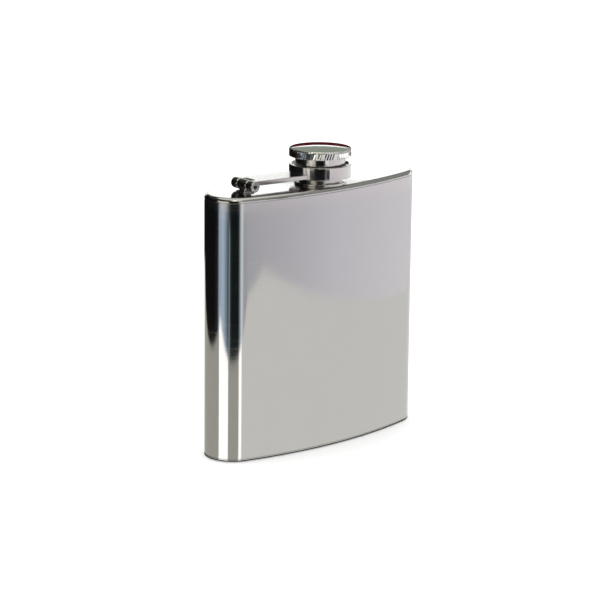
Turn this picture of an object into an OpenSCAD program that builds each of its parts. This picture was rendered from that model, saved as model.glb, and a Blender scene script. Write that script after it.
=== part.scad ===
// Hip flask with a captive screw cap.
// Millimetres, +Z up, origin at the middle of the footprint on the table.
// The flask lies across X, its convex front faces -Y, the cap hinge is at -X.

/* [Body] */
// Width of the flask across X
body_w = 93; // [85:0.5:100]
// Thickness measured square to the curved faces
body_t = 20.6; // [18:0.1:26]
// Height of the flat top above the table
body_h = 94; // [70:0.5:120]
// Radius of the curved line midway between front and back
bend_r = 145; // [110:1:220]
// Sheet thickness of wall, lid and base
sheet = 0.6; // [0.4:0.05:1]
// Rounding of the lid's shoulder
lid_round = 1.4; // [0.8:0.1:3]
// Rounding of the base's rim
base_round = 0.9; // [0.7:0.1:2]
// Straight lip below each rounding, down to the weld seam
lip_h = 0.3; // [0.1:0.1:2]

/* [Neck] */
// Outer radius of the shoulder below the thread
shoulder_r = 7.75; // [7:0.05:9]
// Height of the shoulder above the lid
shoulder_h = 2.5; // [1.5:0.1:4]
// Crest radius of the thread
crest_r = 6.6; // [6:0.05:7]
// Depth of the thread
thread_d = 0.5; // [0.3:0.05:0.8]
// Thread pitch
pitch = 1.4; // [1:0.1:2]
// Height of the mouth above the lid
mouth_h = 9.2; // [7:0.1:12]
// Radius of the bore
bore_r = 5.1; // [4:0.1:5.4]
// Outer radius of the weld ring round the neck
weld_ring_r = 9.3; // [8.5:0.1:11]
// Height of the weld ring
weld_ring_h = 0.8; // [0.4:0.1:1.5]

/* [Hinge] */
// Distance of the hinge from the neck along X
hinge_x = 32; // [28:0.5:34]
// Height of the hinge line above the lid
hinge_z = 2.6; // [2.3:0.1:4]
// Radius of barrel and knuckles
barrel_r = 1.9; // [1.6:0.05:2.2]
// Length of the fixed barrel
barrel_l = 5.2; // [4:0.1:6]
// Length over both knuckles
hinge_l = 12.4; // [11:0.1:14]
// Gap between the fixed barrel and each knuckle
knuckle_gap = 0.15; // [0.1:0.05:0.4]
// Radius of the pin
pin_r = 0.8; // [0.6:0.05:1]

/* [Arm] */
// Width of the arm
arm_w = 10.9; // [9:0.1:12]
// Thickness of the arm
arm_t = 1.6; // [1:0.1:2]

/* [Collar] */
// Outer radius of the collar
collar_r = 11.05; // [10.5:0.05:12]
// Wall of the collar
collar_wall = 0.9; // [0.6:0.05:1.2]
// Height of the collar's lower edge above the lid
collar_z = 2.5; // [2:0.1:3]
// Height of the collar
collar_h = 4.45; // [4:0.05:6]
// Inner radius of the collar's lip
collar_lip_r = 9.2; // [9:0.05:9.8]

/* [Cap] */
// Outer radius of the knurled head
head_r = 11.05; // [10:0.05:12]
// Height of the head's underside above the lid
head_z = 9.6; // [9:0.05:12]
// Height of the knurled side
head_h = 3; // [2:0.1:4]
// Rise of the dome above the knurled side
dome_h = 0.7; // [0.2:0.05:1.5]
// Outer radius of the skirt
skirt_r = 8.9; // [8.5:0.05:9]
// Inner radius of the skirt
skirt_bore_r = 7.75; // [7.6:0.05:8]
// Number of knurl ridges
ridges = 72; // [36:1:90]

/* [Hidden] */

// How far the bevel stands past the ridges, so that it covers their ends.
ridge_cover = 0.03;

// Body outline: an arc of radius bend_r closed by two half-round ends.
half_t = body_t / 2;
end_x = body_w / 2 - half_t;
end_a = asin(end_x / bend_r);
end_y = bend_r * (1 - cos(end_a));
front_y = max(half_t, head_r + ridge_cover);
neck_y = (front_y - half_t - end_y) / 2;
seam_hi = body_h - lid_round - lip_h;
seam_lo = base_round + lip_h;

// Hinge: stands on the body's centreline, its arm points at the neck.
hinge_y = bend_r - sqrt(pow(bend_r, 2) - pow(hinge_x, 2));
arm_l = norm([hinge_x, hinge_y]);
arm_a = atan2(-hinge_y, hinge_x);
arm_top = barrel_r - 0.1;
arm_low = arm_top - arm_t;
pin_run = 0.05;
pin_bore_r = pin_r - 0.25;
pin_slot = 0.3;
pin_inset = 0.4;
post_x = 3;
post_y = 3.6;
foot_x = 4.6;
foot_y = 5.4;
foot_h = 0.5;
slot_run = 0.4;

// Neck
spout_wall = 0.9;
threads = 4;
thread_z = 1.05;
thread_foot = 0.45;
thread_top = 0.12;

// Cap
clip_t = 0.5;
clip_z = 3.2;
clip_r = 9.9;
clip_in_r = 8.35;
clip_gap = 2;
groove_r = 8.3;
groove_side = 0.05;
lip_z = 5.7;
lip_t = 0.6;
skirt_z = 2.9;
seat_z = 10.4;
bevel = 0.45;
knurl_d = 0.15;
knurl_slant = 20;
liner_r = skirt_bore_r - 0.05;
liner_run = 0.05;
overcut = 0.5;
round_steps = 8;
rim_flat = 2;
bend_fn = 720;
dome_fn = 1440;

steel = [0.78, 0.78, 0.8];
dark = [0.62, 0.62, 0.66];
cork = [0.86, 0.84, 0.78];

$fa = 3;
$fs = 0.25;

// ---- shared shapes ----

// Sweeps the children, drawn from mid-thickness outwards, along the outline.
module swept() {
    translate([0, bend_r + neck_y, 0]) {
        rotate([0, 0, 270 - end_a]) {
            rotate_extrude(angle = 2 * end_a, $fn = bend_fn)
                translate([bend_r, 0]) {
                    children();
                    mirror([1, 0]) children();
                }
            translate([bend_r, 0, 0]) rotate_extrude(start = 180, angle = 180) children();
        }
        rotate([0, 0, 270 + end_a])
            translate([bend_r, 0, 0]) rotate_extrude(angle = 180) children();
    }
}

// Pressed tray: flat plate, rounded rim and a short lip, open side down.
module tray(r, h, inner) {
    edge_x = half_t - rim_flat;
    translate([0, 0, h - sheet]) swept() square([edge_x, sheet]);
    swept() polygon(concat(
        [[edge_x, h]], quarter(r, h - r, half_t - r), [[half_t, 0], [half_t - sheet, 0]],
        inner, [[edge_x, h - sheet]]));
}

// Points of a quarter circle, from its top to its side.
function quarter(r, y, x) =
    [for (i = [0 : round_steps]) let (a = 90 * (1 - i / round_steps))
        [x + r * cos(a), y + r * sin(a)]];

function reversed(p) = [for (i = [len(p) - 1 : -1 : 0]) p[i]];

// Places the children at the top of the neck axis, z = 0 on the lid.
module on_neck() {
    translate([0, neck_y, body_h]) children();
}

// Places the children on the hinge line; x points at the neck, y along the pin.
module on_hinge() {
    on_neck() translate([-hinge_x, hinge_y, hinge_z])
        rotate([0, 0, arm_a]) children();
}

// Cylinder lying along y, centred.
module rod(r, l) {
    rotate([90, 0, 0]) cylinder(r = r, h = l, center = true);
}

// Ring between two radii.
module ring(r_out, r_in, h) {
    difference() {
        cylinder(r = r_out, h = h);
        translate([0, 0, -overcut]) cylinder(r = r_in, h = h + 2 * overcut);
    }
}

// ---- flask ----

module body_wall() color(steel)
    swept()
        translate([half_t - sheet, seam_lo]) square([sheet, seam_hi - seam_lo]);

module lid_plate() color(steel)
    difference() {
        translate([0, 0, seam_hi])
            tray(lid_round, body_h - seam_hi,
                 reversed(quarter(lid_round - sheet, lip_h, half_t - lid_round)));
        on_neck() translate([0, 0, -lid_round - lip_h])
            cylinder(r = bore_r + spout_wall, h = lid_round + lip_h + overcut);
    }

module base_plate() color(steel)
    translate([0, 0, seam_lo]) mirror([0, 0, 1])
        tray(base_round, seam_lo, [[half_t - sheet, seam_lo - sheet]]);

module neck() color(steel)
    on_neck() rotate_extrude() {
        translate([bore_r, -sheet]) square([spout_wall, sheet]);
        translate([bore_r, 0]) square([shoulder_r - bore_r, shoulder_h]);
        translate([bore_r, 0]) square([crest_r - thread_d - bore_r, mouth_h]);
        for (i = [0 : threads - 1])
            translate([crest_r - thread_d, shoulder_h + thread_z + i * pitch])
                polygon([[-0.1, -thread_foot], [0, -thread_foot], [thread_d, -thread_top],
                         [thread_d, thread_top], [0, thread_foot], [-0.1, thread_foot]]);
    }

module weld_ring() color(steel)
    on_neck() ring(weld_ring_r, shoulder_r, weld_ring_h);

// ---- hinge and arm ----

module hinge_post() color(steel)
    on_hinge() difference() {
        union() {
            rod(barrel_r, barrel_l);
            translate([-post_x / 2, -post_y / 2, -hinge_z])
                cube([post_x, post_y, hinge_z]);
            translate([-foot_x / 2, -foot_y / 2, -hinge_z])
                cube([foot_x, foot_y, foot_h]);
        }
        rod(pin_r + pin_run, barrel_l + 2 * overcut);
    }

module hinge_pin() color(dark)
    on_hinge() difference() {
        rod(pin_r, hinge_l - 2 * pin_inset);
        rod(pin_bore_r, hinge_l);
        translate([0, -hinge_l / 2, -pin_slot / 2])
            cube([2 * pin_r, hinge_l, pin_slot]);
    }

module swing_arm() color(steel)
    on_hinge() difference() {
        union() {
            for (s = [-1, 1])
                translate([0, s * (hinge_l / 2 + barrel_l / 2 + knuckle_gap) / 2, 0])
                    rod(barrel_r, hinge_l / 2 - barrel_l / 2 - knuckle_gap);
            translate([0, -arm_w / 2, arm_low]) cube([arm_l, arm_w, arm_t]);
        }
        translate([-barrel_r - overcut, -barrel_l / 2 - knuckle_gap, -barrel_r - overcut])
            cube([2 * barrel_r + overcut + slot_run, barrel_l + 2 * knuckle_gap,
                  2 * barrel_r + 2 * overcut]);
        translate([arm_l, 0, arm_low - overcut])
            cylinder(r = collar_r, h = arm_t + 2 * overcut);
        rod(pin_r, hinge_l + 2 * overcut);
    }

module collar_ring() color(steel)
    on_neck() union() {
        translate([0, 0, collar_z]) ring(collar_r, collar_r - collar_wall, collar_h);
        translate([0, 0, lip_z]) ring(collar_r - collar_wall / 2, collar_lip_r, lip_t);
    }

// ---- cap ----

module retaining_clip() color(dark)
    on_neck() translate([0, 0, clip_z]) difference() {
        ring(clip_r, clip_in_r, clip_t);
        translate([0, -clip_gap / 2, -overcut])
            cube([clip_r + overcut, clip_gap, clip_t + 2 * overcut]);
    }

module cap_skirt() color(steel)
    on_neck() difference() {
        translate([0, 0, skirt_z]) ring(skirt_r, skirt_bore_r, seat_z - skirt_z);
        translate([0, 0, clip_z - groove_side])
            ring(skirt_r + overcut, groove_r, clip_t + 2 * groove_side);
    }

module cap_head() color(steel)
    on_neck() difference() {
        union() {
            translate([0, 0, head_z]) knurl(head_h - bevel);
            translate([0, 0, head_z + head_h - bevel]) rotate_extrude() head_top();
        }
        translate([0, 0, head_z - overcut]) cylinder(r = skirt_r, h = seat_z - head_z + overcut);
    }

// Half section of the head above the ridges: bevel and shallow dome.
module head_top() {
    top_r = head_r - bevel;
    dome_r = (pow(top_r, 2) + pow(dome_h, 2)) / (2 * dome_h);
    polygon([[0, 0], [head_r + ridge_cover, 0], [top_r, bevel], [0, bevel]]);
    intersection() {
        translate([0, bevel + dome_h - dome_r]) circle(dome_r, $fn = dome_fn);
        translate([0, bevel]) square([top_r, dome_h + overcut]);
    }
}

// Slanted ridges round the head.
module knurl(h) {
    step = 360 / ridges;
    lean = h * tan(knurl_slant) / head_r * 180 / PI;
    linear_extrude(height = h, twist = -lean, slices = 3)
        polygon([for (i = [0 : ridges - 1]) each [
            head_r * [cos((i - 0.1) * step), sin((i - 0.1) * step)],
            head_r * [cos((i + 0.1) * step), sin((i + 0.1) * step)],
            (head_r - knurl_d) * [cos((i + 0.5) * step), sin((i + 0.5) * step)]]]);
}

module cap_liner() color(cork)
    on_neck() translate([0, 0, mouth_h + liner_run])
        cylinder(r = liner_r, h = seat_z - mouth_h - liner_run);

body_wall();
lid_plate();
base_plate();
neck();
weld_ring();
hinge_post();
hinge_pin();
swing_arm();
collar_ring();
retaining_clip();
cap_skirt();
cap_head();
cap_liner();
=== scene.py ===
"""Looks of the hip flask: mirror-polished sheet steel, a hinged arm and a knurled screw cap.

Shapes are drawn in millimetres in the part's own frame and scaled to metres once.
"""
import math

import bmesh
import bpy
from mathutils import Matrix, Vector


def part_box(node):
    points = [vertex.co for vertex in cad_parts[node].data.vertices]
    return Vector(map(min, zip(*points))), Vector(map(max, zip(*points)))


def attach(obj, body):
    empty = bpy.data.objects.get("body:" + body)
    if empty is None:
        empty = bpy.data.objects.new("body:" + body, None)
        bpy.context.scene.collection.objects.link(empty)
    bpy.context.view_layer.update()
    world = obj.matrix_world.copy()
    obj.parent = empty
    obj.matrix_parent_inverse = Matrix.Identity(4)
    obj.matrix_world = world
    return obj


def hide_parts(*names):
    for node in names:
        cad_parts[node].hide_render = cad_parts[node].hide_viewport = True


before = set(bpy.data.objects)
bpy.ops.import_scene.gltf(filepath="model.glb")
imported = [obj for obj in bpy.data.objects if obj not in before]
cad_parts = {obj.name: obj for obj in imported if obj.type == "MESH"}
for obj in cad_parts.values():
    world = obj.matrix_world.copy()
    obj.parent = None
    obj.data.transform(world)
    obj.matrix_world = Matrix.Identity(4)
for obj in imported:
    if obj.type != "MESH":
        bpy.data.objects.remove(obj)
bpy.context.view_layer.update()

MM = 0.001
TAU = 2 * math.pi

# ---- sizes, in mm, as in the CAD part ----

# Names that end in _Z are heights above the lid, as far as the studio.

# Body: bend of its middle line, half thickness, sheet, straight lip and roundings.
BEND_R = 145.0
HALF_T = 10.3
SHEET = 0.6
LIP = 0.3
LID_ROUND = 1.4
BASE_ROUND = 0.9

# Neck and thread. The thread's foot and top are half widths.
SHOULDER_R = 7.75
SHOULDER_H = 2.5
MOUTH_Z = 9.2
BORE_R = 5.1
SPIGOT_R = BORE_R + 0.9
ROOT_R = 6.1
CREST_R = 6.6
PITCH = 1.4
THREAD_Z = SHOULDER_H + 1.05
THREAD_TURNS = 3.6
THREAD_FOOT = 0.45
THREAD_TOP = 0.12

# Hinge. HINGE_X is its distance from the neck along x.
HINGE_X = 32.0
BARREL_R = 1.9
BARREL_L = 5.2
HINGE_L = 12.4
KNUCKLE_GAP = 0.15
PIN_R = 0.8
PIN_WALL = 0.25
PIN_RUN = 0.05
PIN_INSET = 0.4
POST_HALF = (1.5, 1.8)
FOOT_HALF = (2.3, 2.7)
FOOT_H = 0.5

# Arm and collar
ARM_W = 10.9
ARM_T = 1.6
ARM_BELOW_TOP = 0.1
SLOT_RUN = 0.4
COLLAR_R = 11.05
COLLAR_WALL = 0.9
COLLAR_LIP_R = 9.2
COLLAR_LIP_Z = 5.7
COLLAR_LIP_T = 0.6

# Cap
SKIRT_R = 8.9
SKIRT_BORE_R = 7.75
CLIP_GROOVE_R = 8.3
CLIP_BORE_R = 8.35
CLIP_R = 9.9
CLIP_RUN = 0.05
LINER_RUN = 0.05
SEAT_Z = 10.4
HEAD_R = 11.05
HEAD_Z = 9.6
HEAD_H = 3.0
BEVEL = 0.45
DOME_H = 0.7
RIDGES = 72
KNURL_D = 0.15
KNURL_SLANT = 20


def cad(node):
    """Lowest and highest corner of a CAD node, in mm."""
    low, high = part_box(node)
    return low / MM, high / MM


def heights(node):
    """Lowest and highest point of a CAD node above the lid."""
    low, high = cad(node)
    return low.z - BODY_H, high.z - BODY_H


wall_low, wall_high = cad("body_wall")
lid_low, lid_high = cad("lid_plate")
neck_low, neck_high = cad("neck")
BODY_H = lid_high.z
END_X = wall_high.x - HALF_T
END_A = math.asin(END_X / BEND_R)
NECK = Vector((0, (neck_low.y + neck_high.y) / 2, BODY_H))
BEND_C = Vector((0, BEND_R + NECK.y))

# Hinge frame: x towards the neck, y along the pin.
HINGE_Y = BEND_R - math.sqrt(BEND_R ** 2 - HINGE_X ** 2)
HINGE_A = -math.atan2(HINGE_Y, HINGE_X)
ARM_L = math.hypot(HINGE_X, HINGE_Y)
HINGE_Z = sum(heights("hinge_pin")) / 2
HINGE = NECK + Vector((-HINGE_X, HINGE_Y, HINGE_Z))
TO_HINGE = Matrix.Translation(HINGE) @ Matrix.Rotation(HINGE_A, 4, "Z")
TO_NECK = Matrix.Translation(NECK)

# ---- camera ----

# Angles in degrees round the flask, above level, and roll; place and lens in mm.
CAM_AZ, CAM_EL, CAM_ROLL = (math.radians(a) for a in (-42.700, 13.487, 0.565))
CAM_AT = Vector((-600.307, -642.642, 261.829))
LENS = 151.88
SENSOR_W = 36


def make_camera():
    """Camera fitted to the photo."""
    back = Vector((math.sin(CAM_AZ) * math.cos(CAM_EL),
                   -math.cos(CAM_AZ) * math.cos(CAM_EL), math.sin(CAM_EL)))
    side = Vector((math.cos(CAM_AZ), math.sin(CAM_AZ), 0))
    top = back.cross(side)
    right = side * math.cos(CAM_ROLL) + top * math.sin(CAM_ROLL)
    up = top * math.cos(CAM_ROLL) - side * math.sin(CAM_ROLL)
    data = bpy.data.cameras.new("camera")
    data.lens = LENS
    data.sensor_width = SENSOR_W
    data.clip_start = 0.02
    data.clip_end = 30
    obj = bpy.data.objects.new("camera", data)
    turn = Matrix((right, up, back)).transposed().to_4x4()
    obj.matrix_world = Matrix.Translation(CAM_AT * MM) @ turn
    bpy.context.scene.collection.objects.link(obj)
    bpy.context.scene.camera = obj


make_camera()

# ---- mesh helpers ----


def arc(cx, cy, r, a0, a1, steps):
    """Points of an arc, angles in degrees."""
    return [(cx + r * math.cos(math.radians(a0 + (a1 - a0) * i / steps)),
             cy + r * math.sin(math.radians(a0 + (a1 - a0) * i / steps)))
            for i in range(steps + 1)]


def rounded(corners, steps=5):
    """Closed polygon (x, y, radius) with its corners rounded."""
    out = []
    n = len(corners)
    for i, (x, y, r) in enumerate(corners):
        here = Vector((x, y))
        if r <= 0:
            out.append((x, y))
            continue
        a = (Vector(corners[i - 1][:2]) - here).normalized()
        b = (Vector(corners[(i + 1) % n][:2]) - here).normalized()
        half = a.angle(b) / 2
        reach = r / math.tan(half)
        centre = here + (a + b).normalized() * (r / math.sin(half))
        p, q = here + a * reach, here + b * reach
        start = math.atan2(p.y - centre.y, p.x - centre.x)
        turn = math.atan2(q.y - centre.y, q.x - centre.x) - start
        turn = (turn + math.pi) % TAU - math.pi
        out += [(centre.x + r * math.cos(start + turn * k / steps),
                 centre.y + r * math.sin(start + turn * k / steps))
                for k in range(steps + 1)]
    return out


def quads(bm, rows, closed=False):
    """Faces between closed rows of vertices, and from the last row to the first if closed."""
    count = len(rows)
    for j in range(count if closed else count - 1):
        a, b = rows[j], rows[(j + 1) % count]
        n = len(a)
        for i in range(n):
            k = (i + 1) % n
            corner = []
            for v in (a[i], a[k], b[k], b[i]):
                if v not in corner:
                    corner.append(v)
            if len(corner) > 2:
                bm.faces.new(corner)


def at_neck(bm, r, a, z):
    """Vertex at a radius, direction and height round the neck's axis."""
    return bm.verts.new(TO_NECK @ Vector((r * math.cos(a), r * math.sin(a), z)))


def revolve(bm, profile, segs, at=Matrix.Identity(4), closed=True):
    """Turns a profile (radius, height) about z. Points at radius 0 are shared."""
    rows = []
    for r, z in profile:
        if r < 1e-9:
            v = bm.verts.new(at @ Vector((0, 0, z)))
            rows.append([v] * segs)
        else:
            rows.append([bm.verts.new(at @ Vector((r * math.cos(TAU * i / segs),
                                                   r * math.sin(TAU * i / segs), z)))
                         for i in range(segs)])
    quads(bm, rows, closed)


def extrude(bm, outline, low, high, bevel, at=Matrix.Identity(4), steps=3):
    """Prism of an outline, with its top and bottom rims rounded."""
    pts = [Vector(p) for p in outline]
    n = len(pts)
    area = sum(pts[i].cross(pts[(i + 1) % n]) for i in range(n))
    if area < 0:
        pts.reverse()
    # Way and distance by which each point moves when the outline shrinks by 1. least_dot
    # keeps that distance short at very sharp corners.
    least_dot = 0.35
    miter = []
    for i in range(n):
        e0 = (pts[i] - pts[i - 1]).normalized()
        e1 = (pts[(i + 1) % n] - pts[i]).normalized()
        n0, n1 = Vector((e0.y, -e0.x)), Vector((e1.y, -e1.x))
        m = (n0 + n1).normalized()
        miter.append(m / max(least_dot, m.dot(n0)))
    quarter = [math.pi / 2 * k / steps for k in range(steps + 1)]
    levels = [(low + bevel * (1 - math.cos(a)), bevel * (1 - math.sin(a))) for a in quarter]
    levels += [(high - bevel * (1 - math.sin(a)), bevel * (1 - math.cos(a))) for a in quarter]
    rows = []
    for z, inset in levels:
        rows.append([bm.verts.new(at @ Vector((*(p - m * inset), z)))
                     for p, m in zip(pts, miter)])
    quads(bm, rows)
    bm.faces.new(rows[0][::-1])
    bm.faces.new(rows[-1])


def outline(d, arc_steps=110, end_steps=56):
    """Closed plan curve at distance d outside the body's middle line, anticlockwise."""
    a = math.degrees(END_A)
    left, right = arc(*BEND_C, BEND_R, 270 - a, 270 + a, 1)
    stretches = [arc(*BEND_C, BEND_R + d, 270 - a, 270 + a, arc_steps),
                 arc(*right, d, -90 + a, 90 + a, end_steps),
                 arc(*BEND_C, BEND_R - d, 270 + a, 270 - a, arc_steps),
                 arc(*left, d, 90 - a, 270 - a, end_steps)]
    return [p for stretch in stretches for p in stretch[:-1]]


def swept(bm, profile, closed=True):
    """Sweeps a profile (distance from the middle line, height) round the body."""
    rows = [[bm.verts.new((x, y, z)) for x, y in outline(d)] for d, z in profile]
    quads(bm, rows, closed)
    return rows


def finish_mesh(name, bm, body, nodes, material, sharp=32.0):
    """Turns a bmesh in mm into a piece in metres that stands for CAD nodes."""
    bmesh.ops.remove_doubles(bm, verts=bm.verts, dist=1e-5)
    bmesh.ops.recalc_face_normals(bm, faces=bm.faces)
    bmesh.ops.scale(bm, vec=(MM, MM, MM), verts=bm.verts)
    limit = math.radians(sharp)
    for f in bm.faces:
        f.smooth = True
    for e in bm.edges:
        if len(e.link_faces) == 2 and e.calc_face_angle(0) > limit:
            e.smooth = False
    mesh = bpy.data.meshes.new(name)
    bm.to_mesh(mesh)
    bm.free()
    mesh.materials.append(material)
    obj = bpy.data.objects.new(name, mesh)
    bpy.context.scene.collection.objects.link(obj)
    mod = obj.modifiers.new("weighted normals", "WEIGHTED_NORMAL")
    mod.mode = "FACE_AREA"
    mod.weight = 50
    mod.keep_sharp = True
    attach(obj, body)
    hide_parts(*nodes)


# ---- materials ----


class Nodes:
    """Small helper for building a node tree."""

    def __init__(self, material):
        material.use_nodes = True
        self.tree = material.node_tree
        self.tree.nodes.clear()

    def add(self, kind, **sockets):
        node = self.tree.nodes.new(kind)
        for key, value in sockets.items():
            if hasattr(node, key) and key not in [s.name for s in node.inputs]:
                setattr(node, key, value)
            else:
                self.put(node.inputs[key], value)
        return node

    def put(self, socket, value):
        if isinstance(value, bpy.types.NodeSocket):
            self.tree.links.new(value, socket)
        else:
            socket.default_value = value

    def math(self, op, *values):
        node = self.tree.nodes.new("ShaderNodeMath")
        node.operation = op
        for socket, value in zip(node.inputs, values):
            self.put(socket, value)
        return node.outputs[0]

    def ramp(self, value, stops):
        node = self.tree.nodes.new("ShaderNodeValToRGB")
        while len(node.color_ramp.elements) < len(stops):
            node.color_ramp.elements.new(0.5)
        for element, (at, colour) in zip(node.color_ramp.elements, stops):
            element.position = at
            element.color = colour
        self.put(node.inputs["Fac"], value)
        return node.outputs["Color"]


def grey(v):
    """Grey as a node colour."""
    return (v, v, v, 1)


def steel(name, colour, rough, grain, grain_depth, smudge=0.03, wear=0.1):
    """Polished steel: faint polishing lines, smudges, hairline scratches and duller edges.

    grain is how fine the lines are along x, y and z, per metre, so they run where the
    number is small, and grain_depth is how strongly they stand out. smudge and wear are
    how much roughness those two add.
    """
    mat = bpy.data.materials.new(name)
    n = Nodes(mat)
    place = n.add("ShaderNodeTexCoord").outputs["Object"]

    def noise(scale, detail=3.0, stretch=(1, 1, 1), grit=0.55):
        mapping = n.add("ShaderNodeMapping", Vector=place, Scale=stretch)
        return n.add("ShaderNodeTexNoise", Vector=mapping.outputs[0], Scale=scale,
                     Detail=detail, Roughness=grit).outputs["Fac"]

    lines = noise(1.0, 4.0, grain, 0.7)
    cloud = noise(38.0, 3.0)
    blotch = noise(150.0, 4.0)
    slanted = n.add("ShaderNodeMapping", Vector=place, Rotation=(0.35, 0.5, 0.8),
                    Scale=(70, 70, 2600))
    streaks = n.add("ShaderNodeTexNoise", Vector=slanted.outputs[0], Scale=1.0, Detail=2.0)
    scratch = n.ramp(streaks.outputs["Fac"], [(0.66, grey(0)), (0.72, grey(1))])
    edge = n.add("ShaderNodeNewGeometry").outputs["Pointiness"]
    worn = n.ramp(edge, [(0.5, grey(0)), (0.56, grey(1))])
    smudged = n.ramp(cloud, [(0.45, grey(0)), (0.7, grey(1))])

    line_rough = 0.04
    scratch_rough = 0.06
    roughness = n.math("MULTIPLY_ADD", smudged, smudge, rough)
    roughness = n.math("MULTIPLY_ADD", lines, line_rough, roughness)
    roughness = n.math("MULTIPLY_ADD", scratch, scratch_rough, roughness)
    roughness = n.math("MULTIPLY_ADD", worn, wear, roughness)
    blotch_share = 0.5
    blotch_dark = 0.93
    tint = n.add("ShaderNodeMix", data_type="RGBA")
    n.put(tint.inputs["Factor"], n.math("MULTIPLY", blotch, blotch_share))
    dark = tuple(c * blotch_dark for c in colour)
    n.put(tint.inputs["A"], (*colour, 1))
    n.put(tint.inputs["B"], (*dark, 1))
    line_bump = n.add("ShaderNodeBump", Strength=grain_depth, Distance=0.00002, Height=lines)
    scratch_bump = n.add("ShaderNodeBump", Strength=0.12, Distance=0.00001, Height=scratch,
                         Normal=line_bump.outputs[0], invert=True)
    shader = n.add("ShaderNodeBsdfPrincipled", Metallic=1.0, Roughness=roughness)
    n.put(shader.inputs["Base Color"], tint.outputs["Result"])
    n.put(shader.inputs["Normal"], scratch_bump.outputs[0])
    n.add("ShaderNodeOutputMaterial", Surface=shader.outputs[0])
    return mat


SHEET_STEEL = (0.565, 0.56, 0.553)
TURNED_STEEL = (0.60, 0.595, 0.585)
WARM_STEEL = (0.60, 0.59, 0.575)
BRIGHT_STEEL = (0.80, 0.79, 0.77)
DULL_STEEL = (0.38, 0.37, 0.36)
wall_steel = steel("wall_steel", SHEET_STEEL, 0.045, (30, 30, 2600), 0.10)
lid_steel = steel("lid_steel", SHEET_STEEL, 0.05, (40, 2200, 40), 0.10)
base_steel = steel("base_steel", SHEET_STEEL, 0.10, (40, 2200, 40), 0.2, 0.08)
neck_steel = steel("neck_steel", WARM_STEEL, 0.09, (60, 60, 3500), 0.25, 0.05)
hinge_steel = steel("hinge_steel", WARM_STEEL, 0.08, (3500, 90, 3500), 0.22, 0.05)
collar_steel = steel("collar_steel", TURNED_STEEL, 0.05, (60, 60, 3500), 0.15)
cap_steel = steel("cap_steel", TURNED_STEEL, 0.05, (300, 300, 3000), 0.15)
head_steel = steel("head_steel", BRIGHT_STEEL, 0.04, (300, 300, 3000), 0.10, wear=0.0)
pin_steel = steel("pin_steel", DULL_STEEL, 0.12, (2500, 200, 2500), 0.2, 0.05)


def make_liner_material():
    """Pressed cork: brown flecks in a pale ground, with a grainy surface."""
    mat = bpy.data.materials.new("liner_cork")
    n = Nodes(mat)
    place = n.add("ShaderNodeTexCoord").outputs["Object"]
    grain = n.add("ShaderNodeTexVoronoi", Vector=place, Scale=1500.0, Randomness=1.0)
    fleck = n.add("ShaderNodeTexNoise", Vector=place, Scale=2600.0, Detail=4.0).outputs["Fac"]
    colour = n.ramp(fleck, [(0.3, (0.30, 0.22, 0.14, 1)), (0.48, (0.62, 0.50, 0.36, 1)),
                            (0.7, (0.74, 0.64, 0.49, 1))])
    rough = n.math("MULTIPLY_ADD", fleck, 0.2, 0.7)
    bump = n.add("ShaderNodeBump", Strength=0.6, Distance=0.00008,
                 Height=grain.outputs["Distance"])
    shader = n.add("ShaderNodeBsdfPrincipled", Roughness=rough)
    n.put(shader.inputs["Base Color"], colour)
    n.put(shader.inputs["Normal"], bump.outputs[0])
    n.add("ShaderNodeOutputMaterial", Surface=shader.outputs[0])
    return mat


liner_cork = make_liner_material()

# ---- body: wall, lid and base ----

# Half of the fine V groove at each weld seam.
GROOVE = 0.09
# Narrow flat row between a rounding and the filled middle of lid or base.
FLAT_ROW = 0.25
WALL_ROWS = 24


def make_wall():
    """Closed sheet wall, open at top and bottom."""
    low, high = wall_low.z, wall_high.z
    inner = HALF_T - SHEET
    bm = bmesh.new()
    straight = high - low - 2 * GROOVE
    levels = [low + GROOVE + straight * i / WALL_ROWS for i in range(WALL_ROWS + 1)]
    outer = [(HALF_T - GROOVE, low)] + [(HALF_T, z) for z in levels] + [(HALF_T - GROOVE, high)]
    swept(bm, outer + [(inner, high), (inner, low)])
    finish_mesh("flask_wall", bm, "flask", ["body_wall"], wall_steel)


def fill_flat(bm, ring, holes, z):
    """Flat filled region between a ring of vertices and round holes (x, y, r)."""
    edges = []
    loops = [ring]
    for x, y, r in holes:
        circle = arc(x, y, r, 0, 360, 96)[:-1]
        loops.append([bm.verts.new((*p, z)) for p in circle])
    for loop in loops:
        for i in range(len(loop)):
            e = bm.edges.get((loop[i - 1], loop[i]))
            edges.append(e or bm.edges.new((loop[i - 1], loop[i])))
    bmesh.ops.triangle_fill(bm, edges=edges, use_beauty=True)
    return loops[1:]


def make_lid():
    """Pressed lid with a rounded shoulder and a hole for the spout."""
    low, high = lid_low.z, lid_high.z
    r = LID_ROUND
    bm = bmesh.new()
    shoulder = arc(HALF_T - r, high - r, r, 0, 90, 12)
    rim = [(HALF_T - GROOVE, low), (HALF_T, low + GROOVE)] + shoulder
    top_rows = swept(bm, rim + [(HALF_T - r - FLAT_ROW, high)], closed=False)
    inner = [(HALF_T - SHEET, low), (HALF_T - SHEET, low + LIP), (HALF_T - r, high - SHEET)]
    under_rows = swept(bm, inner, closed=False)
    quads(bm, [top_rows[0], under_rows[0]])
    hole = (NECK.x, NECK.y, SPIGOT_R)
    top_hole = fill_flat(bm, top_rows[-1], [hole], high)[0]
    under_hole = fill_flat(bm, under_rows[-1], [hole], high - SHEET)[0]
    quads(bm, [top_hole, under_hole])
    finish_mesh("flask_lid", bm, "flask", ["lid_plate"], lid_steel)


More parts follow.
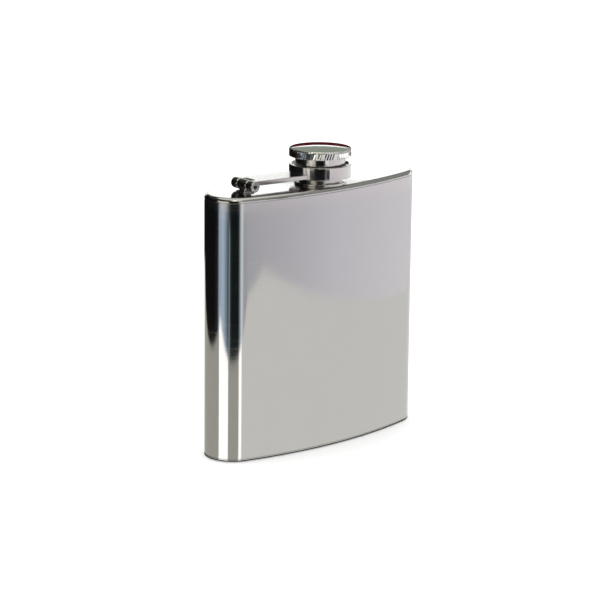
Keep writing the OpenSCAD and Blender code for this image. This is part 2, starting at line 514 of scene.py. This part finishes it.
def make_base():
    """Pressed base with a small rounded rim."""
    low, high = (corner.z for corner in cad("base_plate"))
    r = BASE_ROUND
    bm = bmesh.new()
    curve = arc(HALF_T - r, low + r, r, 0, -90, 10)
    rim = [(HALF_T - GROOVE, high), (HALF_T, high - GROOVE)] + curve
    rows = swept(bm, rim + [(HALF_T - r - FLAT_ROW, low)], closed=False)
    inner = swept(bm, [(HALF_T - SHEET, high), (HALF_T - SHEET, low + SHEET)], closed=False)
    quads(bm, [rows[0], inner[0]])
    fill_flat(bm, rows[-1], [], low)
    fill_flat(bm, inner[-1], [], low + SHEET)
    finish_mesh("flask_base", bm, "flask", ["base_plate"], base_steel)


# ---- neck ----

# Points round the turned parts, and round each turn of the thread.
ROUND_STEPS = 128
THREAD_STEPS = 96


def add_thread(bm):
    """One ridge that winds up the spout and fades out at both ends."""
    count = int(THREAD_TURNS * THREAD_STEPS)
    fade_steps = 14
    least_foot, least_top = 0.05, 0.03
    sunk = 0.12
    rise, edge_r, edge_z = 0.02, 0.04, 0.05
    rows = []
    for i in range(count + 1):
        fade = min(1, i / fade_steps, (count - i) / fade_steps)
        z = THREAD_Z + PITCH * i / THREAD_STEPS
        crest = ROOT_R + (CREST_R - ROOT_R) * fade
        foot = least_foot + (THREAD_FOOT - least_foot) * fade
        top = least_top + (THREAD_TOP - least_top) * fade
        lower = [(ROOT_R - sunk, -foot), (ROOT_R + rise, -foot),
                 (crest - edge_r, -top - edge_z), (crest, -top)]
        section = lower + [(r, -h) for r, h in reversed(lower)]
        rows.append([at_neck(bm, r, TAU * i / THREAD_STEPS, z + h) for r, h in section])
    quads(bm, rows)
    bm.faces.new(rows[0][::-1])
    bm.faces.new(rows[-1])


def make_neck():
    """Spout with its shoulder, a threaded stem and a spigot in the lid's hole."""
    bm = bmesh.new()
    revolve(bm, rounded([
        (BORE_R, -SHEET, 0.1), (SPIGOT_R, -SHEET, 0.05), (SPIGOT_R, 0, 0), (SHOULDER_R, 0, 0),
        (SHOULDER_R, SHOULDER_H, 0.2), (ROOT_R, SHOULDER_H, 0.15), (ROOT_R, MOUTH_Z, 0.35),
        (BORE_R, MOUTH_Z, 0.35)]), ROUND_STEPS, TO_NECK)
    add_thread(bm)
    finish_mesh("neck_spout", bm, "flask", ["neck"], neck_steel, sharp=40)


def make_weld_ring():
    """Low ring round the foot of the shoulder."""
    bm = bmesh.new()
    low, high = cad("weld_ring")
    r, h = (high.x - low.x) / 2, high.z - low.z
    revolve(bm, rounded([(SHOULDER_R, 0, 0), (r, 0, 0.05), (r, h, 0.15), (SHOULDER_R, h, 0.1)]),
            ROUND_STEPS, TO_NECK)
    finish_mesh("neck_ring", bm, "flask", ["weld_ring"], neck_steel)


# ---- hinge and arm ----

BARREL_ROUND = 0.4


def tube(bm, r_out, r_in, y0, y1, round_out=BARREL_ROUND, segs=64):
    """Round tube along the hinge line between two places."""
    round_in = 0.06
    lie = TO_HINGE @ Matrix.Rotation(math.radians(-90), 4, "X")
    revolve(bm, rounded([(r_in, y0, round_in), (r_out, y0, round_out), (r_out, y1, round_out),
                         (r_in, y1, round_in)], 4), segs, lie)


def block(half_x, half_y, r):
    """Rectangle round the hinge's middle, its corners rounded."""
    return rounded([(-half_x, -half_y, r), (half_x, -half_y, r), (half_x, half_y, r),
                    (-half_x, half_y, r)])


def make_post():
    """Fixed barrel on a post, which stands on a foot plate."""
    bm = bmesh.new()
    tube(bm, BARREL_R, PIN_R + PIN_RUN, -BARREL_L / 2, BARREL_L / 2)
    post_top = -PIN_R - 0.35
    extrude(bm, block(*POST_HALF, 0.4), -HINGE_Z, post_top, 0.05, TO_HINGE)
    extrude(bm, block(*FOOT_HALF, 0.7), -HINGE_Z, -HINGE_Z + FOOT_H, 0.15, TO_HINGE)
    finish_mesh("hinge_bracket", bm, "flask", ["hinge_post"], hinge_steel)


def make_pin():
    """Hollow pin, set back a little at both ends of the hinge."""
    bm = bmesh.new()
    half = HINGE_L / 2 - PIN_INSET
    tube(bm, PIN_R, PIN_R - PIN_WALL, -half, half, 0.1, 48)
    finish_mesh("hinge_rivet", bm, "arm", ["hinge_pin"], pin_steel)


def make_arm():
    """Two knuckles and a flat plate, which reaches the collar."""
    bm = bmesh.new()
    inner = BARREL_L / 2 + KNUCKLE_GAP
    outer = HINGE_L / 2
    for y0, y1 in ((-outer, -inner), (inner, outer)):
        tube(bm, BARREL_R, PIN_R, y0, y1)
    top = BARREL_R - ARM_BELOW_TOP
    w = ARM_W / 2
    # Plan of the plate: slot for the fixed barrel on the left, hollow end on the collar.
    plate_start = 0.35
    slot = BARREL_R + SLOT_RUN
    reach = ARM_L - math.sqrt(COLLAR_R ** 2 - w ** 2)
    hollow = math.degrees(math.asin(w / COLLAR_R))
    plan = rounded([
        (plate_start, -w, 0), (plate_start, -inner, 0), (slot, -inner, 0.3),
        (slot, inner, 0.3), (plate_start, inner, 0), (plate_start, w, 0), (reach, w, 0)])
    plan += arc(ARM_L, 0, COLLAR_R, 180 - hollow, 180 + hollow, 24)[1:]
    extrude(bm, plan, top - ARM_T, top, 0.18, TO_HINGE)
    finish_mesh("arm_plate", bm, "arm", ["swing_arm"], hinge_steel)


def make_collar():
    """Ring with an inner lip, which holds the cap's clip from above."""
    bm = bmesh.new()
    low, high = heights("collar_ring")
    inner = COLLAR_R - COLLAR_WALL
    lip_top = COLLAR_LIP_Z + COLLAR_LIP_T
    revolve(bm, rounded([
        (inner, low, 0.15), (COLLAR_R, low, 0.22), (COLLAR_R, high, 0.22), (inner, high, 0.18),
        (inner, lip_top, 0.1), (COLLAR_LIP_R, lip_top, 0.2), (COLLAR_LIP_R, COLLAR_LIP_Z, 0.2),
        (inner, COLLAR_LIP_Z, 0.1)]), 144, TO_NECK)
    finish_mesh("collar_band", bm, "arm", ["collar_ring"], collar_steel)


# ---- cap ----


def make_clip():
    """Flat snap ring with rounded edges, open on one side."""
    bm = bmesh.new()
    low, high = heights("retaining_clip")
    section = rounded([(CLIP_BORE_R, low, 0.15), (CLIP_R, low, 0.2), (CLIP_R, high, 0.2),
                       (CLIP_BORE_R, high, 0.15)], 3)
    # The gap is 1 mm wide on each side of its middle, at a radius of 9.
    half_gap = math.asin(1 / 9)
    steps = 120
    rows = []
    for i in range(steps + 1):
        a = half_gap + (TAU - 2 * half_gap) * i / steps
        rows.append([at_neck(bm, r, a, z) for r, z in section])
    quads(bm, rows)
    bm.faces.new(rows[0][::-1])
    bm.faces.new(rows[-1])
    finish_mesh("cap_clip", bm, "slider", ["retaining_clip"], pin_steel)


def make_skirt():
    """Sleeve with a groove for the clip."""
    bm = bmesh.new()
    low, high = heights("cap_skirt")
    clip_low, clip_high = heights("retaining_clip")
    groove_low, groove_high = clip_low - CLIP_RUN, clip_high + CLIP_RUN
    revolve(bm, rounded([
        (SKIRT_BORE_R, low, 0.2), (SKIRT_R, low, 0.12), (SKIRT_R, groove_low, 0.04),
        (CLIP_GROOVE_R, groove_low, 0.05), (CLIP_GROOVE_R, groove_high, 0.05),
        (SKIRT_R, groove_high, 0.06), (SKIRT_R, high, 0.05), (SKIRT_BORE_R, high, 0.05)],
        4), ROUND_STEPS, TO_NECK)
    finish_mesh("cap_skirt_tube", bm, "cap", ["cap_skirt"], cap_steel)


# Places round one ridge, as shares of the way from crest to crest. Crest and valley are
# both flat for RIDGE_FLAT to each side, and the flanks between them are straight.
RIDGE_PLACES = (-0.05, -0.02, 0.02, 0.05, 0.25, 0.45, 0.48, 0.52, 0.55, 0.75)
RIDGE_FLAT = 0.02
DOME_ROWS = 14


def ridge_drop(place):
    """Share of the ridges' depth at a place between two crests."""
    away = min(abs(place), 1 - abs(place))
    return min(1, max(0, (away - RIDGE_FLAT) / (0.5 - 2 * RIDGE_FLAT)))


def make_head():
    """Cap head: slanted V ridges run from the underside into the bevel of the dome."""
    bm = bmesh.new()
    lean = math.tan(math.radians(KNURL_SLANT)) / HEAD_R
    top_r = HEAD_R - BEVEL
    top_z = HEAD_Z + HEAD_H
    bevel_z = HEAD_H - BEVEL
    bevel_slope = 0.8
    foot_inset, foot_h = 0.12, 0.1
    spots = [(TAU * (i + place) / RIDGES, ridge_drop(place))
             for i in range(RIDGES) for place in RIDGE_PLACES]
    # Up the side: (height, share of the full depth), as the ridges fade out at both ends.
    side = [(0.08, 0.3), (0.2, 0.8), (0.35, 1), (0.9, 1), (1.45, 1), (2.0, 1),
            (bevel_z - 0.05, 1), (bevel_z + 0.12, 0.95), (bevel_z + 0.28, 0.8),
            (bevel_z + 0.4, 0.5)]
    rows = []
    for h, depth in side:
        crest = HEAD_R - foot_inset * (h < foot_h) - max(0, h - bevel_z) * bevel_slope
        rows.append([at_neck(bm, crest - drop * KNURL_D * depth, a + lean * h, HEAD_Z + h)
                     for a, drop in spots])
    shift = lean * side[-1][0]

    def plain(r, z):
        return [at_neck(bm, r, a + shift, z) for a, drop in spots]

    rows.append(plain(top_r + 0.04, top_z - 0.02))
    rows.append(plain(top_r - 0.02, top_z))
    dome_r = (top_r ** 2 + DOME_H ** 2) / (2 * DOME_H)
    for k in range(1, DOME_ROWS):
        r = top_r * (1 - k / DOME_ROWS)
        rows.append(plain(r, top_z + DOME_H - dome_r + math.sqrt(dome_r ** 2 - r ** 2)))
    rows.append([at_neck(bm, 0, 0, top_z + DOME_H)] * len(spots))
    quads(bm, rows)
    # Underside with the seat for skirt and liner.
    under = [rows[0]] + [plain(r, z) for r, z in (
        (HEAD_R - 0.75, HEAD_Z), (SKIRT_R + 0.05, HEAD_Z), (SKIRT_R, HEAD_Z + 0.05),
        (SKIRT_R, SEAT_Z))]
    under.append([at_neck(bm, 0, 0, SEAT_Z)] * len(spots))
    quads(bm, under)
    finish_mesh("cap_knurled_head", bm, "cap", ["cap_head"], head_steel, sharp=28)


def make_liner():
    """Sealing disc: its middle is set back, and its rim is rounded."""
    bm = bmesh.new()
    low, high = heights("cap_liner")
    r = SKIRT_BORE_R - LINER_RUN
    rim = 0.2
    dent, slope_end = 0.12, 0.03
    revolve(bm, [(0, low + dent), (BORE_R, low + dent), (ROOT_R - 0.4, low + slope_end)]
            + arc(r - rim, low + rim, rim, -90, 0, 5) + [(r, high), (0, high)],
            96, TO_NECK, closed=False)
    finish_mesh("cap_washer", bm, "cap", ["cap_liner"], liner_cork)


make_wall()
make_lid()
make_base()
make_neck()
make_weld_ring()
make_post()
make_pin()
make_arm()
make_collar()
make_clip()
make_skirt()
make_head()
make_liner()

# ---- studio ----

# The world lights the scene. The cards are seen only in the metal, and the plain floor
# everywhere but in the metal.


def plain_material(name, colour, glow=1.0):
    """One colour that glows by itself, or a dull surface if glow is 0."""
    mat = bpy.data.materials.new(name)
    n = Nodes(mat)
    if glow:
        shader = n.add("ShaderNodeEmission", Strength=glow)
    else:
        shader = n.add("ShaderNodeBsdfDiffuse")
    n.put(shader.inputs["Color"], (*colour, 1))
    n.add("ShaderNodeOutputMaterial", Surface=shader.outputs[0])
    return mat


def around_material(name, stops):
    """Glow whose colour depends on the direction: (degrees, red, green, blue) stops."""
    mat = bpy.data.materials.new(name)
    n = Nodes(mat)
    place = n.add("ShaderNodeTexCoord").outputs["Object"]
    axes = n.add("ShaderNodeSeparateXYZ", Vector=place)
    angle = n.math("ARCTAN2", axes.outputs["Y"], axes.outputs["X"])
    turn = n.math("MULTIPLY_ADD", angle, 1 / TAU, 0.5)
    colour = n.ramp(turn, [((a + 180) / 360, (r, g, b, 1)) for a, r, g, b in stops])
    shader = n.add("ShaderNodeEmission", Color=colour, Strength=1.0)
    n.add("ShaderNodeOutputMaterial", Surface=shader.outputs[0])
    return mat


def stage_mesh(name, points, faces, material, seen="mirror"):
    """Floor or card. seen is "mirror" for a card, or "camera" for the plain floor."""
    mesh = bpy.data.meshes.new(name)
    mesh.from_pydata([Vector(p) * MM for p in points], [], faces)
    mesh.materials.append(material)
    obj = bpy.data.objects.new(name, mesh)
    bpy.context.scene.collection.objects.link(obj)
    mirror = seen == "mirror"
    obj.visible_camera = not mirror
    obj.visible_diffuse = not mirror
    obj.visible_glossy = mirror
    obj.visible_transmission = False
    obj.visible_volume_scatter = False
    obj.visible_shadow = False
    return obj


def strip(name, first, second, material, closed=False):
    """Card between two rows of points."""
    n = len(first)
    faces = [(i, (i + 1) % n, n + (i + 1) % n, n + i) for i in range(n if closed else n - 1)]
    stage_mesh(name, first + second, faces, material)


def level(points, z):
    """Points of a plan, all at one height."""
    return [(*p, z) for p in points]


def sector(name, centre, radius, a0, a1, z0, z1, material, steps=16):
    """Standing curved card round a centre, between two directions in degrees."""
    rim = arc(*centre, radius, a0, a1, steps)
    strip(name, level(rim, z0), level(rim, z1), material)


def disc(name, centre, r0, r1, a0, a1, z, material, steps=48):
    """Flat card between two radii and two directions in degrees."""
    inner = arc(*centre, r0, a0, a1, steps)
    outer = arc(*centre, r1, a0, a1, steps)
    strip(name, level(inner, z), level(outer, z), material)


def square(half, x=0, y=0):
    """Corners of a square round a point."""
    return [(x - half, y - half), (x + half, y - half), (x + half, y + half), (x - half, y + half)]


SURROUND = 1.65
world = bpy.data.worlds.new("world")
bpy.context.scene.world = world
world.use_nodes = True
world.node_tree.nodes["Background"].inputs["Color"].default_value = (1, 1, 1, 1)
world.node_tree.nodes["Background"].inputs["Strength"].default_value = SURROUND
bpy.context.scene.view_settings.view_transform = "Standard"

# Half side of the two floors. From here on heights are above the table's top.
BIG = 9000
FLOOR_Z = -0.05
ROOM_Z = -0.5
FAR_ROOM_Z = -0.3
TABLE_Z = 0
FAN_Z = 0.2
PAINTED_SHADOW_Z = 0.4
ORIGIN = (0, 0)
NECK_XY = (NECK.x, NECK.y)
LEFT_END = (-END_X, NECK.y + BEND_R * (1 - math.cos(END_A)))
CAM_DIR = math.degrees(math.atan2(CAM_AT.y, CAM_AT.x))
QUAD = [(0, 1, 2, 3)]

stage_mesh("floor", level(square(BIG), FLOOR_Z), QUAD,
           plain_material("floor_white", (0.88, 0.88, 0.88), 0), seen="camera")

# The room beyond the table: pale in front and to the right, blue-grey to the left, black
# behind and towards the camera.
room = around_material("room_tones", [
    (-180, 0.58, 0.69, 0.83), (-172, 0.56, 0.70, 0.86), (-160, 0.26, 0.34, 0.43),
    (-152, 0.06, 0.09, 0.12), (-148, 0.42, 0.48, 0.50), (-145, 0.04, 0.06, 0.07),
    (-138, 0.01, 0.015, 0.015), (-113, 0.01, 0.014, 0.014),
    (-108, 0.30, 0.36, 0.40), (-101, 1.0, 1.08, 1.12), (-95, 0.63, 0.67, 0.72),
    (-88, 0.51, 0.51, 0.54), (-76, 0.61, 0.605, 0.645), (-60, 0.735, 0.715, 0.77),
    (-45, 0.855, 0.835, 0.895), (-28, 0.93, 0.90, 0.96), (-14, 0.98, 0.95, 1.0),
    (20, 0.85, 0.83, 0.86), (40, 0.25, 0.2, 0.2), (50, 0.015, 0.008, 0.008),
    (150, 0.006, 0.007, 0.007), (165, 0.025, 0.025, 0.035), (172, 0.50, 0.60, 0.74)])
room_floor = stage_mesh("room_floor", level(square(BIG, -LEFT_END[0], -LEFT_END[1]), ROOM_Z),
                        QUAD, room)
room_floor.location = Vector((*LEFT_END, 0)) * MM

# A pale table, nearly square, turned about 45 degrees to the flask.
TABLE = [(-256, 14), (60, -298), (330, 45), (50, 330)]
paper = plain_material("table_paper", (0.90, 0.895, 0.86))
stage_mesh("table", level(TABLE, TABLE_Z), QUAD, paper)


def table_reach(start, way):
    """Distance from a point on the table to its edge."""
    best = 1e9
    for i, a in enumerate(TABLE):
        a, b = Vector(a), Vector(TABLE[(i + 1) % len(TABLE)])
        edge = b - a
        cross = way.cross(edge)
        if abs(cross) > 1e-9:
            t = (a - start).cross(edge) / cross
            u = (a - start).cross(way) / cross
            if t > 0 and 0 <= u <= 1:
                best = min(best, t)
    return best


def fan(name, a0, a1, material, steps=24):
    """Painted patch on the part of the table that the round left end mirrors between directions a0
    and a1. Its material sets whether it is painted shadow or painted light.
    """
    inner, outer = [], []
    for i in range(steps + 1):
        a = math.radians(a0 + (a1 - a0) * i / steps)
        facing = (a + math.radians(CAM_DIR)) / 2
        start = Vector(LEFT_END) + HALF_T * Vector((math.cos(facing), math.sin(facing)))
        way = Vector((math.cos(a), math.sin(a)))
        inner.append(start)
        outer.append(start + way * table_reach(start, way))
    strip(name, level(inner, FAN_Z), level(outer, FAN_Z), material)


# Painted shadows of the flags and drapes on the table, and painted light where light falls through
# the gaps between them. They are seen only in the metal.
table_painted_shadow = plain_material("table_painted_shadow", (0.52, 0.505, 0.46))
table_painted_light = plain_material("table_painted_light", (1.0, 0.985, 0.96), 1.9)
fan("shade_side", -281, -190, table_painted_shadow)
fan("glow_side", -190, -152, table_painted_light)
fan("shade_front", -152, -110.5, table_painted_shadow)
fan("glow_front", -110.5, -99.5, table_painted_light)

# Further out the tones differ: collar, cap and hinge are high enough to mirror this part.
FAR_R = 545
FAR_RIGHT_R = 505
far_room = around_material("far_room_tones", [
    (-180, 1.25, 1.15, 0.95), (-158, 1.2, 1.1, 0.9), (-152, 0.02, 0.015, 0.012),
    (-112, 0.012, 0.01, 0.01), (-108, 1.3, 1.25, 1.15), (-98, 1.3, 1.25, 1.22),
    (-92, 0.97, 0.90, 0.93), (-45, 1.0, 0.93, 0.96), (5, 1.15, 1.1, 1.1),
    (30, 0.6, 0.55, 0.55), (44, 0.05, 0.035, 0.03), (169, 0.012, 0.01, 0.01),
    (174, 1.2, 1.1, 0.9)])
disc("far_room", ORIGIN, FAR_R, BIG, -180, 180, FAR_ROOM_Z, far_room, 96)
disc("far_room_right", ORIGIN, FAR_RIGHT_R, FAR_R, -150, 160, FAR_ROOM_Z, far_room, 80)

# Small black flags close to the cap. In the main view the collar's wall mirrors the first
# two, and the left side of the knurl the third.
flag_black = plain_material("flag_black", (0.012, 0.010, 0.010))
sector("flag_collar_left", NECK_XY, 60, -168, -151, 86.3, 92.2, flag_black, 6)
sector("flag_collar_right", NECK_XY, 41, -113, -102, 90.5, 95.6, flag_black, 6)
disc("flag_knurl", NECK_XY, 19, 36, -148, -121, 93.5, flag_black, 8)

# Black drapes behind the left end and towards the camera.
DRAPE_R = 420
DRAPE_H = 330
# The same black also serves the painted contact shadow under the base.
drape_and_painted_shadow_black = plain_material("drape_and_painted_shadow_black", (0.006, 0.007, 0.008))
for name, a0, a1 in (("drape_side", 75, 163), ("drape_front", -150, -112)):
    sector(name, LEFT_END, DRAPE_R, a0, a1, 0, DRAPE_H, drape_and_painted_shadow_black)

# Walls: cream and black to the left and in front, dim grey at the front right, maroon
# behind. Through the gap in the grey one the knurl's right side mirrors the surround.
WALL_R = 1500
CEILING_Z = 500
front_wall = around_material("front_wall_tones", [
    (-180, 0.9, 0.85, 0.72), (-153, 0.9, 0.85, 0.72), (-149, 0.05, 0.05, 0.04),
    (-118, 0.05, 0.05, 0.04), (-114, 0.9, 0.85, 0.72), (-107, 0.9, 0.85, 0.72),
    (-102, 0.17, 0.165, 0.14), (-12, 0.17, 0.17, 0.16), (170, 0.17, 0.17, 0.16),
    (174, 0.9, 0.85, 0.72)])
maroon = plain_material("wall_maroon", (0.075, 0.010, 0.012))
for name, a0, a1, z0, z1, material in (
        ("wall_front", -188, -100, 0, CEILING_Z, front_wall),
        ("wall_front_low", -100, -12, 0, 80, front_wall),
        ("wall_front_high", -100, -12, 200, CEILING_Z, front_wall),
        ("wall_back", 15, 80, 0, 245, maroon)):
    sector(name, ORIGIN, WALL_R, a0, a1, z0, z1, material, 48)
# Mirrored by the far half of the cap's dome.
sector("flag_dome", NECK_XY, 25, -3, 97, 108.5, 111.5, maroon, 16)

# Painted contact shadow: a black card under the base's rim, seen only in the metal, gives the dark
# line where the base meets the table.
shadow_in, shadow_out = outline(HALF_T - 3), outline(HALF_T + 0.9)
strip("painted_contact_shadow", level(shadow_in, PAINTED_SHADOW_Z), level(shadow_out, PAINTED_SHADOW_Z), drape_and_painted_shadow_black,
      closed=True)

# Ceiling: pale in the middle and on the near side, green at the back right, grey at the
# front right, dark elsewhere.
CEILING_IN = 300
CEILING_OUT = 1860
ceiling_green = plain_material("ceiling_green", (0.275, 0.315, 0.265))
ceiling_grey = plain_material("ceiling_grey", (0.36, 0.36, 0.35))
ceiling_dark = plain_material("ceiling_dark", (0.05, 0.045, 0.042))
ceiling_pale = plain_material("ceiling_pale", (0.95, 0.93, 0.86))
for name, r0, r1, a0, a1, material, steps in (
        ("ceiling_far", CEILING_IN, 1800, 5, 66, ceiling_green, 16),
        ("ceiling_middle", 0, CEILING_IN, 0, 360, ceiling_pale, 48),
        ("ceiling_left", CEILING_IN, CEILING_OUT, 66, 222, ceiling_dark, 48),
        ("ceiling_near", CEILING_IN, 900, 222, 262, ceiling_pale, 16),
        ("ceiling_near_far", 900, CEILING_OUT, 222, 262, ceiling_dark, 16),
        ("ceiling_front", CEILING_IN, CEILING_OUT, 262, 365, ceiling_grey, 48)):
    disc(name, ORIGIN, r0, r1, a0, a1, CEILING_Z, material, steps)

# Softbox high to the front left: the bright spot on the left shoulder.
SOFTBOX_AT = (-260, -265)
SOFTBOX_Z = 410
SOFTBOX_HALF = 75
softbox = plain_material("softbox_cream", (1.0, 0.95, 0.82), 3.0)
stage_mesh("softbox_left", level(square(SOFTBOX_HALF, *SOFTBOX_AT), SOFTBOX_Z), QUAD, softbox)
